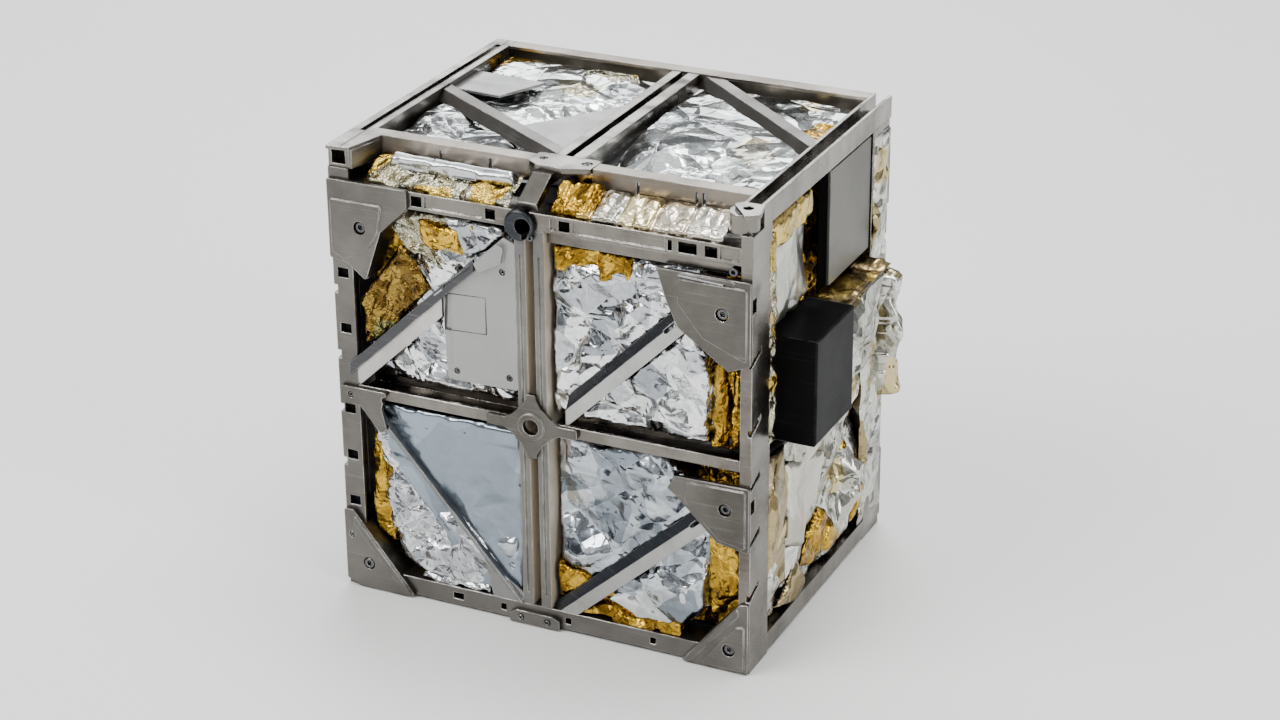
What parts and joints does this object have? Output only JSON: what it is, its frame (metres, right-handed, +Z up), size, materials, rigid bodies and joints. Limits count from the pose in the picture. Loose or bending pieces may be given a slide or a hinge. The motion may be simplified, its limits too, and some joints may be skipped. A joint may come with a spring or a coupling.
{
  "type": "cube satellite",
  "caption": "Small cube-shaped satellite: a slotted metal frame with corner gussets and diagonal strips round a bus wrapped in crumpled silver and gold foil.",
  "frame": {"origin": "centre of the bore in the bottom hub, at the plane of the four feet it stands on", "axes": "+Z up from the base to the deck, +Y from the front face to the back, +X to the right seen from the front, towards the side with the black box"},
  "size_m": [0.1083, 0.0808, 0.1074],
  "materials": {
    "frame": "semi-gloss grey with bright worn edges",
    "bracket": "semi-gloss grey with bright worn edges",
    "brace": "light grey satin",
    "dark_metal": "dark grey satin",
    "plate": "light grey satin",
    "dark_plate": "dark grey satin",
    "silver_foil": "crumpled silver foil",
    "gold_foil": "crumpled gold foil",
    "black_box": "satin black",
    "core": "plain block inside"
  },
  "bodies": {
    "root": {"back_blades": "frame", "back_braces": "brace", "back_gussets": "bracket", "back_hub": "bracket", "back_posts": "frame", "back_rails": "frame", "base_bars": "frame", "base_hub": "bracket", "base_side_rails": "frame", "bottom_lug": "bracket", "brace_lower_left": "brace", "brace_lower_right": "brace", "brace_upper_left": "brace", "brace_upper_right": "brace", "core": "core", "deck_back_rail": "frame", "deck_bars": "frame", "deck_brace_left": "brace", "deck_brace_right": "brace", "deck_front_rail": "frame", "deck_left_rail": "frame", "deck_link": "frame", "deck_lug": "frame", "deck_node": "frame", "deck_plates": "dark_plate", "deck_right_rail": "frame", "foil_back": "silver_foil", "foil_back_base": "gold_foil", "foil_base": "gold_foil", "foil_deck": "silver_foil", "foil_edge": "silver_foil", "foil_front_base": "gold_foil", "foil_left": "silver_foil", "foil_lower_left": "silver_foil", "foil_lower_right": "silver_foil", "foil_right_flap": "gold_foil", "foil_right_lower": "silver_foil", "foil_right_module": "silver_foil", "foil_right_upper": "silver_foil", "foil_side_base": "gold_foil", "foil_upper_left": "silver_foil", "foil_upper_right": "silver_foil", "front_blades": "frame", "front_bottom_rail": "frame", "front_cover_plate": "plate", "front_hub": "bracket", "front_left_post": "frame", "front_mid_rail": "frame", "front_right_post": "frame", "front_socket": "dark_metal", "front_top_rail": "frame", "gusset_lower_left": "bracket", "gusset_lower_right": "bracket", "gusset_middle_left": "bracket", "gusset_middle_right": "bracket", "gusset_upper_left": "bracket", "gusset_upper_right": "bracket", "left_plate": "plate", "right_plate": "plate", "sensor_box": "black_box"}
  },
  "joints": []
}
